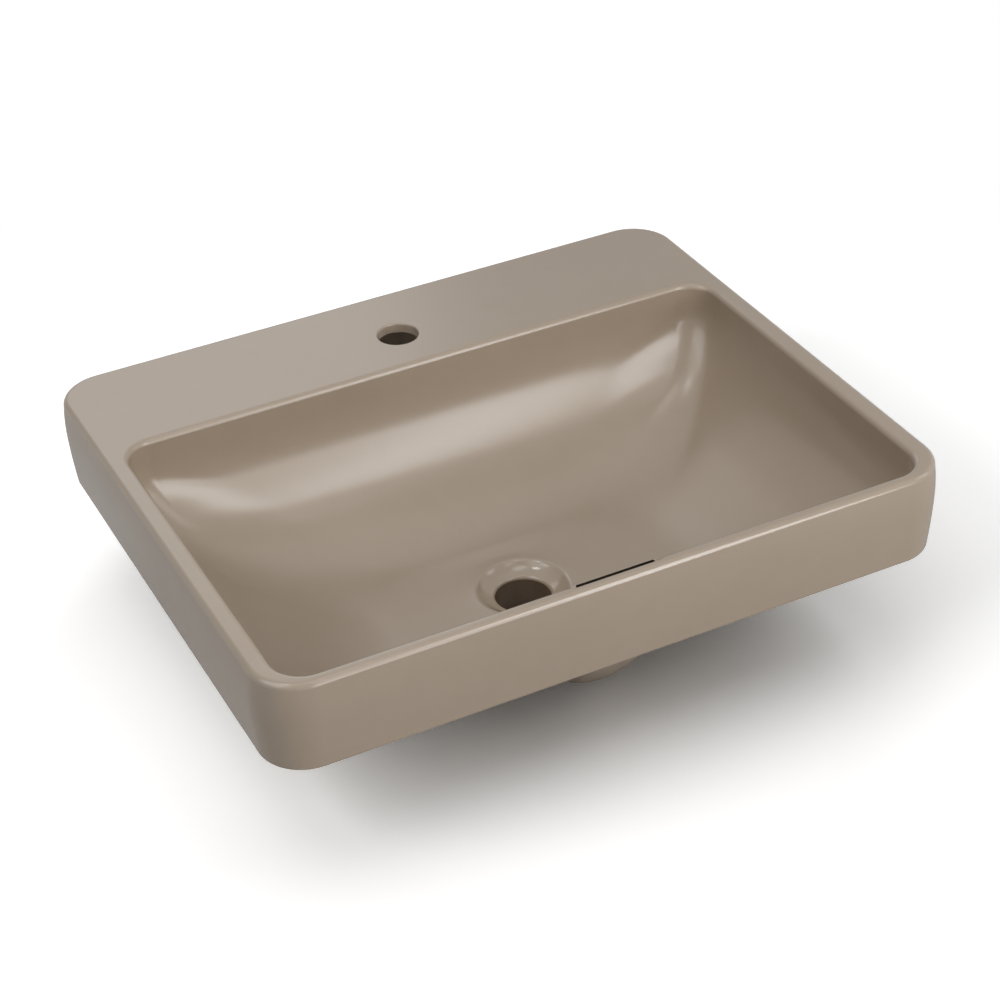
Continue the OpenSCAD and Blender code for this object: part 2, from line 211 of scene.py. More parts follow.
@dataclass(frozen=True)
class Casting:
    """Lengths that the castings share, in millimetres, and the rings drawn from them."""

    plan: ColumnPlan = field(default_factory=ColumnPlan)
    half_w: float = 287.5
    half_d: float = 238.0
    rim_z: float = 78.0
    joint_z: float = 58.0
    corner_r: float = 40.0
    edge_r: float = 5.0
    swell: float = 1.3
    swell_share: float = 0.3
    foot_inset: float = 3.3
    foot_curve: float = 1.6
    foot_r: float = 2.0
    skirt_t: float = 9.0
    mouth_x: float = 268.0
    mouth_front_y: float = -224.0
    mouth_back_y: float = 115.0
    mouth_r: float = 25.0
    mouth_edge_r: float = 5.0
    bowl_t: float = 8.0
    front_wall_t: float = 5.0
    wall_depth: float = 96.0
    floor_fall: float = 6.0
    side_run: float = 150.0
    front_run: float = 105.0
    back_run: float = 110.0
    floor_r: float = 60.0
    bow: float = 16.0
    bow_full: float = 28.0
    bow_fade: float = 55.0
    outlet_y: float = -57.0
    flange_r: float = 46.0
    flange_z: float = -46.4

    def wall_inset(self, z: float) -> float:
        """Return how far the skirt's outer face stands in from the basin's widest line.

        Args:
            z: Height on the skirt or on the rim's side.

        Returns:
            The inset.
        """
        top = self.rim_z - self.edge_r
        share = (top - z) / (top - self.foot_r)
        if share < self.swell_share:
            return self.swell * (1.0 - share / self.swell_share) ** 2
        return self.foot_inset * ((share - self.swell_share) / (1.0 - self.swell_share)) ** self.foot_curve

    def outline(self, inset: float, z: float) -> list[Vector]:
        """Return a ring that stands in from the basin's widest line."""
        depth = self.half_d - inset
        return self.plan.ring(self.half_w - inset, -depth, depth, self.corner_r - inset, z)

    def mouth(self, offset: float, z: float) -> list[Vector]:
        """Return a ring that stands out from the bowl's mouth.

        Args:
            offset: Distance out from the mouth.
            z: Height of the ring.

        Returns:
            One point for each column.
        """
        return self.plan.ring(
            self.mouth_x + offset,
            self.mouth_front_y - offset,
            self.mouth_back_y + offset,
            self.mouth_r + offset,
            z,
        )

    def bow_at(self, angle: float) -> float:
        """Return the bow of the bowl's back wall at an angle down its section."""
        left = 1.0 - ease((angle - self.bow_fade) / (90.0 - self.bow_fade))
        return math.radians(self.bow) * ease(angle / self.bow_full) * left

    def wall_z(self, turn: float, depth: float) -> float:
        """Return the height of the bowl's section at a turn, at a depth below its inner face."""
        sunk = self.wall_depth * math.sin(turn)
        return self.joint_z - sunk - self.floor_fall * (1.0 - math.cos(turn)) - depth * math.sin(turn)

    def bowl_ring(self, angle: float, bowl_t: float, front_t: float) -> list[Vector]:
        """Return a ring on the bowl, at a thickness out from its inner face.

        Args:
            angle: Angle down the section, from 0 at the joint to 90 degrees at the floor.
            bowl_t: Thickness at the sides, at the back and below.
            front_t: Thickness at the front and in the corners.

        Returns:
            One point for each column.
        """
        turn = math.radians(angle)
        thick = math.cos(turn)
        run = 1.0 - thick
        return self.plan.ring(
            self.mouth_x - self.side_run * run + bowl_t * thick,
            self.mouth_front_y + self.front_run * run - front_t * thick,
            self.mouth_back_y - self.back_run * run + bowl_t * thick,
            self.mouth_r + (self.floor_r - self.mouth_r) * run + front_t * thick,
            self.wall_z(turn, bowl_t),
            self.bow_at(angle),
        )

    def inner_ring(self, angle: float) -> list[Vector]:
        """Return a ring on the bowl's inner face."""
        return self.bowl_ring(angle, 0.0, 0.0)

    def outer_ring(self, angle: float) -> list[Vector]:
        """Return the ring on the bowl's outer face that backs an inner one."""
        return self.bowl_ring(angle, self.bowl_t, self.front_wall_t)

    def outlet_angles(self) -> list[float]:
        """Return the angle at which each column reaches the waste outlet."""
        return [math.atan2(p.y - self.outlet_y, p.x) for p in self.inner_ring(90.0)]


@dataclass
class Shell:
    """Points and faces of one casting, each face in its region."""

    name: str
    points: list[Vector] = field(default_factory=list)
    faces: list[tuple[int, ...]] = field(default_factory=list)
    patches: list[Patch] = field(default_factory=list)

    def add(self, points: Sequence[Vector]) -> list[int]:
        """Store points.

        Args:
            points: Points in millimetres.

        Returns:
            Their numbers.
        """
        start = len(self.points)
        self.points.extend(points)
        return list(range(start, len(self.points)))

    def face(self, corners: Sequence[int], patch: Patch) -> None:
        """Store one face."""
        self.faces.append(tuple(corners))
        self.patches.append(patch)

    def band(self, first: Sequence[int], second: Sequence[int], patch: Patch,
             gap: range = range(0), closed: bool = True) -> None:
        """Join two rows of points with quads.

        Args:
            first: Numbers of the first row.
            second: Numbers of the second row, as many.
            patch: Region of the new faces.
            gap: Columns that get no face.
            closed: Whether the rows run round.
        """
        count = len(first)
        for i in range(count if closed else count - 1):
            if i not in gap:
                j = (i + 1) % count
                self.face((first[i], first[j], second[j], second[i]), patch)

    def bands(self, rows: Sequence[Sequence[int]], patch: Patch, closed: bool = True) -> None:
        """Join rows of points one after another."""
        for first, second in zip(rows, rows[1:]):
            self.band(first, second, patch, closed=closed)

    def plate(self, flat: Sequence[Pair], numbers: Sequence[int], loops: Sequence[Sequence[int]],
              patch: Patch) -> None:
        """Fill an outline that may have holes with triangles.

        Args:
            flat: Place of each point on the plane that is filled.
            numbers: Number of each of these points.
            loops: Outline first, then its holes, as places in the two lists.
            patch: Region of the new faces.
        """
        places = [Vector(pair) for pair in flat]
        outlines = [list(loop) for loop in loops]
        cut = delaunay_2d_cdt(places, [], outlines, INSIDE_TRIANGLES, FILL_EPSILON)
        _, _, triangles, origins, _, around = cut
        for corners, loops_around in zip(triangles, around):
            if list(loops_around) == [0]:
                self.face([numbers[origins[c][0]] for c in corners], patch)

    def level_plate(self, outline: Sequence[int], holes: Sequence[Sequence[int]], patch: Patch) -> None:
        """Fill a level outline that may have holes.

        Args:
            outline: Numbers of the outer loop.
            holes: Numbers of each hole's loop.
            patch: Region of the new faces.
        """
        numbers: list[int] = []
        loops: list[list[int]] = []
        for loop in [outline, *holes]:
            loops.append(list(range(len(numbers), len(numbers) + len(loop))))
            numbers.extend(loop)
        flat = [(self.points[n].x, self.points[n].y) for n in numbers]
        self.plate(flat, numbers, loops, patch)


@dataclass(frozen=True)
class Grain:
    """One layer of noise in a finish: its scale per metre, its detail and its share."""

    scale: float
    detail: float
    share: float


class Signal:
    """A socket in a material, whose arithmetic adds Math nodes."""

    def __init__(self, graph: "Graph", socket: bpy.types.NodeSocket) -> None:
        """Keep the graph and the socket."""
        self.graph = graph
        self.socket = socket

    def __add__(self, other: Any) -> "Signal":
        """Add."""
        return self.graph.math("ADD", self, other)

    def __radd__(self, other: Any) -> "Signal":
        """Add to a number."""
        return self.graph.math("ADD", other, self)

    def __sub__(self, other: Any) -> "Signal":
        """Subtract."""
        return self.graph.math("SUBTRACT", self, other)

    def __rsub__(self, other: Any) -> "Signal":
        """Subtract from a number."""
        return self.graph.math("SUBTRACT", other, self)

    def __mul__(self, other: Any) -> "Signal":
        """Multiply."""
        return self.graph.math("MULTIPLY", self, other)

    def __rmul__(self, other: Any) -> "Signal":
        """Multiply a number."""
        return self.graph.math("MULTIPLY", other, self)


class Graph:
    """A node tree that is filled through a few short calls."""

    def __init__(self, tree: bpy.types.NodeTree) -> None:
        """Empty the tree and keep it."""
        self.tree = tree
        tree.nodes.clear()

    def node(self, kind: str, settings: dict[str, Any], sockets: dict[Any, Any], output: Any = 0) -> Signal:
        """Add a node.

        Args:
            kind: Type of the node without its common prefix.
            settings: Properties that are set first, such as an operation.
            sockets: Values or links of its inputs.
            output: Name or number of the output that is returned.

        Returns:
            That output.
        """
        made = self.tree.nodes.new("ShaderNode" + kind)
        for key, value in settings.items():
            setattr(made, key, value)
        for key, value in sockets.items():
            if isinstance(value, Signal):
                self.tree.links.new(value.socket, made.inputs[key])
            else:
                made.inputs[key].default_value = value
        return Signal(self, made.outputs[output]) if made.outputs else Signal(self, made.inputs[0])

    def math(self, operation: str, first: Any, second: Any) -> Signal:
        """Add a Math node for two values or links."""
        return self.node("Math", {"operation": operation}, {0: first, 1: second})

    def rise(self, value: Signal, low: float, high: float) -> Signal:
        """Return a smooth step of a value between two limits."""
        sockets = {"Value": value, "From Min": low, "From Max": high}
        return self.node("MapRange", {"interpolation_type": "SMOOTHSTEP"}, sockets)

    def blend(self, share: Any, first: Any, second: Any) -> Signal:
        """Mix two colours by a share."""
        sockets = {0: share, MIX_A: first, MIX_B: second}
        return self.node("Mix", {"data_type": "RGBA"}, sockets, MIX_RESULT)

    def noise(self, place: Signal, grain: Grain) -> Signal:
        """Return the noise of one layer."""
        return self.node("TexNoise", {}, {"Vector": place, "Scale": grain.scale, "Detail": grain.detail})


def new_material(name: str) -> tuple[bpy.types.Material, Graph, Signal]:
    """Start a material.

    Args:
        name: Name of the material.

    Returns:
        The material, its empty graph and the place on the piece.
    """
    made = bpy.data.materials.new(name)
    made.use_nodes = True
    graph = Graph(made.node_tree)
    return made, graph, graph.node("TexCoord", {}, {}, "Object")


@dataclass(frozen=True)
class Glaze:
    """A satin glaze: tone that drifts, a fine mottle, and a skin that is not quite even."""

    name: str = "satin_taupe_glaze"
    light: Colour = (0.358, 0.288, 0.219, 1.0)
    dark: Colour = (0.346, 0.277, 0.209, 1.0)
    drift: Grain = Grain(7.0, 3.0, 0.45)
    cloud: Grain = Grain(46.0, 4.0, 0.3)
    mottle: Grain = Grain(820.0, 3.0, 0.25)
    tone_range: Pair = (0.36, 0.64)
    roughness: float = 0.24
    roughness_drift: float = 0.04
    smoother: float = 0.11
    rim_heights: Pair = (0.066, 0.074)
    rim_fronts: Pair = (0.17, 0.22)
    dish_centre: Triple = (0.0, -0.057, -0.05)
    dish_reach: Pair = (0.040, 0.048)
    ior: float = 1.52
    peel: float = 0.05
    coarse_peel: Grain = Grain(330.0, 2.0, 0.75)
    fine_peel: Grain = Grain(1300.0, 2.0, 0.25)
    peel_depth: float = 0.0004

    def material(self) -> bpy.types.Material:
        """Build the finish.

        Returns:
            A new material.
        """
        made, graph, place = new_material(self.name)
        drift = graph.noise(place, self.drift)
        cloud = graph.noise(place, self.cloud)
        mottle = graph.noise(place, self.mottle)
        layers = drift * self.drift.share + cloud * self.cloud.share + mottle * self.mottle.share
        colour = graph.blend(graph.rise(layers, *self.tone_range), self.dark, self.light)
        rough = cloud * self.roughness_drift + (self.roughness - 0.5 * self.roughness_drift)
        rough = rough - self.smooth_share(graph, place) * self.smoother
        coarse = graph.noise(place, self.coarse_peel)
        fine = graph.noise(place, self.fine_peel)
        height = coarse * self.coarse_peel.share + fine * self.fine_peel.share
        sockets = {"Strength": self.peel, "Distance": self.peel_depth, "Height": height}
        bump = graph.node("Bump", {}, sockets)
        sockets = {"Base Color": colour, "Roughness": rough, "Normal": bump, "IOR": self.ior}
        shader = graph.node("BsdfPrincipled", {}, sockets)
        graph.node("OutputMaterial", {}, {"Surface": shader})
        return made

    def smooth_share(self, graph: Graph, place: Signal) -> Signal:
        """Return where the glaze lies smoother: on the front rim's edges and in the outlet's dish.

        Args:
            graph: Graph of the finish.
            place: Place on the piece.

        Returns:
            A share from 0 to 1.
        """
        depth = graph.node("SeparateXYZ", {}, {"Vector": place}, "Y")
        height = graph.node("SeparateXYZ", {}, {"Vector": place}, "Z")
        rim = graph.rise(height, *self.rim_heights) * graph.rise(depth * -1.0, *self.rim_fronts)
        sockets = {0: place, 1: self.dish_centre}
        away = graph.node("VectorMath", {"operation": "DISTANCE"}, sockets, "Value")
        return rim + (1.0 - graph.rise(away, *self.dish_reach))


@dataclass(frozen=True)
class BareClay:
    """Fired clay without glaze: pale, matt and faintly grainy."""

    name: str = "bare_fired_clay"
    light: Colour = (0.66, 0.60, 0.52, 1.0)
    dark: Colour = (0.55, 0.48, 0.40, 1.0)
    grain: Grain = Grain(900.0, 5.0, 0.45)
    stain: Grain = Grain(24.0, 4.0, 0.55)
    tone_range: Pair = (0.34, 0.66)
    roughness: float = 0.86
    roughness_drift: float = 0.12
    tooth: float = 0.35
    tooth_depth: float = 0.0003

    def material(self) -> bpy.types.Material:
        """Build the finish.

        Returns:
            A new material.
        """
        made, graph, place = new_material(self.name)
        grain = graph.noise(place, self.grain)
        stain = graph.noise(place, self.stain)
        tone = graph.rise(grain * self.grain.share + stain * self.stain.share, *self.tone_range)
        sockets = {"Strength": self.tooth, "Distance": self.tooth_depth, "Height": grain}
        bump = graph.node("Bump", {}, sockets)
        rough = grain * self.roughness_drift + (self.roughness - 0.5 * self.roughness_drift)
        colour = graph.blend(tone, self.dark, self.light)
        shader = graph.node("BsdfPrincipled", {}, {"Base Color": colour, "Roughness": rough, "Normal": bump})
        graph.node("OutputMaterial", {}, {"Surface": shader})
        return made


class Finish(Enum):
    """Finishes, by their number among a piece's materials."""

    SKIN_GLAZE = 0
    BACK_GLAZE = 1
    BARE_CLAY = 2
    # Painted shade: dark brown glaze in the waste bore and port, standing for the shade deep in the hole
    POOLED_GLAZE = 3
    # Painted shade: near-black glaze in the overflow slot's throat, standing for the shade inside the slot
    SLOT_GLAZE = 4


# Every other region has the thin glaze of the hidden side
PATCH_FINISHES = {
    Patch.SKIN: Finish.SKIN_GLAZE,
    Patch.COVER: Finish.SKIN_GLAZE,
    Patch.FOOT: Finish.BARE_CLAY,
    Patch.JOINT: Finish.BARE_CLAY,
    Patch.END: Finish.BARE_CLAY,
    Patch.TAP_PAD: Finish.BARE_CLAY,
    # The bore, the port and the slot's throat get glazes darkened as painted shade
    Patch.WASTE_BORE: Finish.POOLED_GLAZE,
    Patch.PORT: Finish.POOLED_GLAZE,
    Patch.SLOT_THROAT: Finish.SLOT_GLAZE,
}


class Workshop:
    """Turns shells into pieces, and lets their skins share normals where castings meet."""

    def __init__(self) -> None:
        """Start with no pieces and make the finishes."""
        self.made: list[tuple[bpy.types.Object, list[Patch]]] = []
        self.finishes = {
            Finish.SKIN_GLAZE: Glaze().material(),
            Finish.BACK_GLAZE: Glaze(
                name="thin_hidden_side_glaze",
                light=(0.43, 0.37, 0.30, 1.0),
                dark=(0.36, 0.30, 0.235, 1.0),
                roughness=0.46,
                peel=0.22,
            ).material(),
            Finish.BARE_CLAY: BareClay().material(),
            # Painted shade: the bore's glaze is darkened to stand for the shade deep in the waste hole
            Finish.POOLED_GLAZE: Glaze(
                name="painted_shade_bore_glaze",
                light=(0.165, 0.115, 0.075, 1.0),
                dark=(0.130, 0.090, 0.060, 1.0),
                roughness=0.34,
            ).material(),
            # Painted shade: the slot's throat is near black with weak reflection, standing for the shade
            # inside the slot
            Finish.SLOT_GLAZE: Glaze(
                name="painted_shade_slot_glaze",
                light=(0.032, 0.024, 0.018, 1.0),
                dark=(0.020, 0.015, 0.011, 1.0),
                roughness=0.85,
                ior=1.1,
            ).material(),
        }

    def make(self, shell: Shell, node: str) -> None:
        """Turn a shell into a piece that stands for a node.

        Args:
            shell: Points and faces in millimetres.
            node: Node that the piece replaces.
        """
        mesh = bpy.data.meshes.new(shell.name)
        mesh.from_pydata([p * MM for p in shell.points], [], shell.faces)
        work = bmesh.new()
        work.from_mesh(mesh)
        loose = [v for v in work.verts if not v.link_faces]
        bmesh.ops.delete(work, geom=loose, context="VERTS")
        bmesh.ops.recalc_face_normals(work, faces=work.faces)
        work.to_mesh(mesh)
        work.free()
        for finish in Finish:
            mesh.materials.append(self.finishes[finish])
        for polygon, patch in zip(mesh.polygons, shell.patches):
            polygon.material_index = PATCH_FINISHES.get(patch, Finish.BACK_GLAZE).value
            polygon.use_smooth = True
        piece = put(shell.name, mesh)
        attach(piece, "root")
        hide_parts(node)
        self.made.append((piece, shell.patches))
        LOG.info("made %s with %d faces for %s", shell.name, len(mesh.polygons), node)

    @staticmethod
    def spot(point: Vector) -> tuple[int, int, int]:
        """Return a key for a place, to a thousandth of a millimetre."""
        return (round(point.x * MICRONS), round(point.y * MICRONS), round(point.z * MICRONS))

    def share_normals(self) -> None:
        """Give each region smooth normals, and the skin the same ones on both sides of a joint."""
        skin: dict[Any, Vector] = {}
        for piece, patches in self.made:
            self.gather(piece.data, patches, skin, True)
        for piece, patches in self.made:
            local: dict[Any, Vector] = {}
            self.gather(piece.data, patches, local, False)
            normals: list[Vector] = []
            mesh = piece.data
            for polygon, patch in zip(mesh.polygons, patches):
                for index in polygon.vertices:
                    key = (patch, self.spot(mesh.vertices[index].co))
                    source = skin if patch is Patch.SKIN else local
                    normals.append(source[key].normalized())
            mesh.normals_split_custom_set(normals)
        LOG.info("skin normals are shared over %d points", len(skin))

    def gather(self, mesh: bpy.types.Mesh, patches: Sequence[Patch], store: dict[Any, Vector],
               skin_only: bool) -> None:
        """Add up the face normals round each point of each region.

        Args:
            mesh: Mesh of a piece.
            patches: Region of each face.
            store: Sums by region and place.
            skin_only: Whether only the skin is added, or only the rest.
        """
        for polygon, patch in zip(mesh.polygons, patches):
            if (patch is Patch.SKIN) == skin_only:
                weighted = polygon.normal * max(polygon.area * SQUARE_MM, LEAST_AREA)
                for index in polygon.vertices:
                    key = (patch, self.spot(mesh.vertices[index].co))
                    store[key] = store.get(key, Vector()) + weighted


@dataclass
class OverflowSlot:
    """The slot in the bowl's front wall, with its set-back crown and proud lower lip."""

    cast: Casting
    centre: float = -5.5
    half_w: float = 33.0
    half_h: float = 2.0
    middle: float = 6.1
    lip_out: float = 2.9
    lip_lift: float = 2.0
    lip_fade: Pair = (9.5, 20.5)
    crown_in: float = 1.5
    crown_drop: float = 0.6
    crown_full: float = 1.8
    end_fade: Pair = (31.5, 40.5)
    edge_r: float = 0.7
    straight_steps: int = 44
    end_steps: int = 10
    grid_x: float = 0.8
    grid_s: float = 0.5
    grid_clear: float = 1.2
    support_offsets: Pair = (0.35, 0.8)
    edge_turns: Triple = (30.0, 60.0, 90.0)
    inward: Triple = (0.0, -0.64, -0.77)
    first_pull: float = 0.6
    throat: tuple[tuple[float, float, float, float], ...] = (
        (-229.6, 75.2, -221.4, 72.6),
        (-231.2, 73.4, -224.0, 70.6),
        (-232.4, 70.6, -227.2, 68.4),
        (-233.1, 66.5, -229.0, 65.4),
        (-233.3, 60.5, -229.2, 60.5),
    )

    def shift(self, x: float, s: float) -> Pair:
        """Return how far the wall stands out to the back and up at a place.

        Args:
            x: Place from left to right.
            s: Length down along the mouth's rounding and the wall.

        Returns:
            The shift to the back and the shift up.
        """
        aside = abs(x - self.centre)
        along = 1.0 - ease((aside - self.end_fade[0]) / (self.end_fade[1] - self.end_fade[0]))
        top = self.middle - self.half_h
        bottom = self.middle + self.half_h
        below = ease((s - self.middle) / (bottom - self.middle))
        fade = 1.0 - ease((s - self.lip_fade[0]) / (self.lip_fade[1] - self.lip_fade[0]))
        above = ease(s / self.crown_full) * (1.0 - ease((s - top) / (self.middle - top)))
        out = along * (self.lip_out * below * fade - self.crown_in * above)
        return out, along * (self.lip_lift * below * fade * fade - self.crown_drop * above)

    def place(self, x: float, s: float) -> Vector:
        """Return a point of the wall.

        Args:
            x: Place from left to right.
            s: Length down along the mouth's rounding and the wall.

        Returns:
            The point.
        """
        radius = self.cast.mouth_edge_r
        length = radius * math.pi / 2.0
        y = self.cast.mouth_front_y - radius
        z = self.cast.rim_z - radius
        if s < length:
            y += radius * math.sin(s / radius)
            z += radius * math.cos(s / radius)
        else:
            y += radius
            z -= s - length
        out, up = self.shift(x, s)
        return Vector((x, y + out, z + up))

    def stadium(self, offset: float) -> list[Pair]:
        """Return the slot's outline at an offset.

        Args:
            offset: Distance out from the slot's edge.

        Returns:
            Places along the wall.
        """
        left = self.centre - self.half_w + self.half_h
        right = self.centre + self.half_w - self.half_h
        radius = self.half_h + offset
        points = [(x, self.middle - radius) for x in spread(left, right, self.straight_steps)[:-1]]
        turns = [math.pi * i / self.end_steps for i in range(self.end_steps)]
        points += [(right + radius * math.sin(t), self.middle - radius * math.cos(t)) for t in turns]
        points += [(x, self.middle + radius) for x in spread(right, left, self.straight_steps)[:-1]]
        points += [(left - radius * math.sin(t), self.middle + radius * math.cos(t)) for t in turns]
        return points

    def build(self, shell: Shell, rows: Sequence[tuple[float, Sequence[int]]]) -> None:
        """Fill the part of the front wall round the slot, and the slot itself.

        Args:
            shell: Shell of the rim.
            rows: Length down the wall and point numbers of each row of the mouth.
        """
        first = self.cast.plan.slot_first
        last = self.cast.plan.slot_last
        columns = spread(-self.cast.plan.slot_reach, self.cast.plan.slot_reach, last - first)
        border = [((x, rows[0][0]), rows[0][1][first + i]) for i, x in enumerate(columns)]
        border += [((columns[-1], s), row[last]) for s, row in rows[1:-1]]
        low = [((x, rows[-1][0]), rows[-1][1][first + i]) for i, x in enumerate(columns)]
        border += low[::-1]
        border += [((columns[0], s), row[first]) for s, row in rows[-2:0:-1]]
        flat = [pair for pair, _ in border]
        numbers = [number for _, number in border]
        loops = [list(range(len(flat)))]
        edge = self.stadium(self.edge_r)
        edge_numbers = shell.add([self.place(x, s) for x, s in edge])
        loops.append(list(range(len(flat), len(flat) + len(edge))))
        flat += edge
        numbers += edge_numbers
        inner = self.inner_places(rows[-1][0])
        flat += inner
        numbers += shell.add([self.place(x, s) for x, s in inner])
        shell.plate(flat, numbers, loops, Patch.SKIN)
        self.build_throat(shell, edge_numbers)

    def inner_places(self, length: float) -> list[Pair]:
        """Return the places of the points that carry the wall's curve round the slot.

        Args:
            length: Length of the wall from the rim down to the joint.

        Returns:
            Places inside the border and clear of the slot.
        """
        places: list[Pair] = []
        for offset in self.support_offsets:
            places += self.stadium(self.edge_r + offset)
        reach = self.cast.plan.slot_reach - self.grid_x
        across = round(2.0 * reach / self.grid_x)
        down = round(length / self.grid_s)
        clear = self.half_h + self.edge_r + self.grid_clear
        for x in spread(-reach, reach, across):
            for s in spread(self.grid_s, length - self.grid_s, down - 2):
                aside = max(0.0, abs(x - self.centre) - (self.half_w - self.half_h))
                if math.hypot(aside, s - self.middle) > clear:
                    places.append((x, s))
        return places

    def build_throat(self, shell: Shell, edge: Sequence[int]) -> None:
        """Round the slot's edge and lead it down into the pocket behind the wall.

        Args:
            shell: Shell of the rim.
            edge: Point numbers of the loop where the rounding starts.
        """
        inward = Vector(self.inward)
        rows = [list(edge)]
        for turn in self.edge_turns:
            offset = self.edge_r * (1.0 - math.sin(math.radians(turn)))
            depth = self.edge_r * (1.0 - math.cos(math.radians(turn)))
            rows.append(shell.add([self.place(x, s) + inward * depth for x, s in self.stadium(offset)]))
        shell.bands(rows, Patch.SKIN)
        last = rows[-1]
        throat = [last]
        for step, (upper_y, upper_z, lower_y, lower_z) in enumerate(self.throat):
            share = self.first_pull if step == 0 else 1.0
            points = []
            for (x, s), number in zip(self.stadium(0.0), last):
                up = (self.middle + self.half_h - s) / (2.0 * self.half_h)
                aim = Vector((x, mix(lower_y, upper_y, up), mix(lower_z, upper_z, up)))
                points.append(shell.points[number].lerp(aim, share))
            throat.append(shell.add(points))
        shell.bands(throat, Patch.SLOT_THROAT)
        shell.level_plate(throat[-1], [], Patch.SLOT_THROAT)


@dataclass
class RimAndTapDeck:
    """The rim with its tap deck, the tap hole and the overflow slot."""

    cast: Casting
    wall_rows: int = 8
    edge_rows: int = 14
    support: float = 0.5
    tap_y: float = 166.0
    tap_r: float = 17.5
    tap_lip_r: float = 1.5
    tap_steps: int = 96
    lip_rows: int = 8
    bore_rows: int = 4
    bore_edge: float = 0.6
    deck_t: float = 8.0
    deck_wall_rows: int = 3
    pad_r: float = 32.0
    pad_h: float = 1.0
    pad_draft: float = 0.4
    front_rows: int = 10

    def circle(self, radius: float, z: float) -> list[Vector]:
        """Return a circle round the tap hole's axis."""
        turns = [2.0 * math.pi * i / self.tap_steps for i in range(self.tap_steps)]
        return [Vector((radius * math.cos(t), self.tap_y + radius * math.sin(t), z)) for t in turns]

    def build(self, shop: Workshop) -> None:
        """Build the rim and hand it to the workshop.

        Args:
            shop: Workshop that makes the piece.
        """
        cast = self.cast
        shell = Shell("rim_and_tap_deck_glazed")
        wall_top = cast.rim_z - cast.edge_r
        heights = spread(cast.joint_z, wall_top, self.wall_rows)
        rows = [shell.add(cast.outline(cast.wall_inset(z), z)) for z in heights]
        centre = cast.swell + cast.edge_r
        for turn in spread(0.0, math.pi / 2.0, self.edge_rows)[1:]:
            inset = centre - cast.edge_r * math.cos(turn)
            rows.append(shell.add(cast.outline(inset, wall_top + cast.edge_r * math.sin(turn))))
        rows.append(shell.add(cast.outline(centre + self.support, cast.rim_z)))
        shell.bands(rows, Patch.SKIN)
        mouth = self.build_mouth(shell)
        tap_top, tap_low = self.build_tap_hole(shell)
        shell.level_plate(rows[-1], [mouth[0], tap_top], Patch.SKIN)
        self.build_underside(shell, rows[0], mouth[1], tap_low)
        shop.make(shell, "rim_and_tap_deck")

    def build_mouth(self, shell: Shell) -> tuple[list[int], list[int]]:
        """Build the rounded edge of the mouth and the short wall below it.

        Args:
            shell: Shell of the rim.

        Returns:
            The loop on the deck and the loop at the joint with the bowl.
        """
        cast = self.cast
        radius = cast.mouth_edge_r
        low = cast.rim_z - radius
        support = shell.add(cast.mouth(radius + self.support, cast.rim_z))
        rows: list[tuple[float, list[int]]] = []
        for turn in spread(0.0, math.pi / 2.0, self.edge_rows):
            ring = cast.mouth(radius * (1.0 - math.sin(turn)), low + radius * math.cos(turn))
            rows.append((radius * turn, shell.add(ring)))
        for z in spread(low, cast.joint_z, self.front_rows)[1:]:
            rows.append((radius * math.pi / 2.0 + low - z, shell.add(cast.mouth(0.0, z))))
        shell.band(support, rows[0][1], Patch.SKIN)
        gap = range(cast.plan.slot_first, cast.plan.slot_last)
        for (_, first), (_, second) in zip(rows, rows[1:]):
            shell.band(first, second, Patch.SKIN, gap)
        OverflowSlot(cast).build(shell, rows)
        return support, rows[-1][1]

    def build_tap_hole(self, shell: Shell) -> tuple[list[int], list[int]]:
        """Build the tap hole with its rounded lip.

        Args:
            shell: Shell of the rim.

        Returns:
            The loop on the deck and the loop on the pad below it.
        """
        cast = self.cast
        lip = self.tap_r + self.tap_lip_r
        low = cast.rim_z - self.tap_lip_r
        support = shell.add(self.circle(lip + self.support, cast.rim_z))
        rows = [support]
        for turn in spread(0.0, math.pi / 2.0, self.lip_rows):
            radius = lip - self.tap_lip_r * math.sin(turn)
            rows.append(shell.add(self.circle(radius, low + self.tap_lip_r * math.cos(turn))))
        bottom = cast.rim_z - self.deck_t - self.pad_h
        for z in spread(low, bottom + self.bore_edge, self.bore_rows)[1:]:
            rows.append(shell.add(self.circle(self.tap_r, z)))
        shell.bands(rows, Patch.SKIN)
        end = shell.add(self.circle(self.tap_r + self.bore_edge, bottom))
        shell.band(rows[-1], end, Patch.TAP_BORE)
        return support, end

    def build_underside(self, shell: Shell, outer: list[int], mouth: list[int], tap: list[int]) -> None:
        """Close the rim below, with the space under the tap deck.

        Args:
            shell: Shell of the rim.
            outer: Loop of the outer face at the joint.
            mouth: Loop of the mouth at the joint.
            tap: Loop of the tap hole on its pad.
        """
        cast = self.cast
        top = cast.rim_z - self.deck_t
        front = cast.mouth_back_y + cast.bowl_t
        back = cast.half_d - cast.skirt_t
        pad_low = shell.add(self.circle(self.pad_r - self.pad_draft, top - self.pad_h))
        pad_high = shell.add(self.circle(self.pad_r, top))
        shell.band(tap, pad_low, Patch.TAP_PAD)
        shell.band(pad_low, pad_high, Patch.PAD_EDGE)
        wall = [
            shell.add(cast.plan.ring(cast.mouth_x, front, back, cast.mouth_r, z))
            for z in spread(top, cast.joint_z, self.deck_wall_rows)
        ]
        shell.level_plate(wall[0], [pad_high], Patch.DECK_UNDERSIDE)
        shell.bands(wall, Patch.DECK_WALL)
        shell.level_plate(outer, [mouth, wall[-1]], Patch.JOINT)


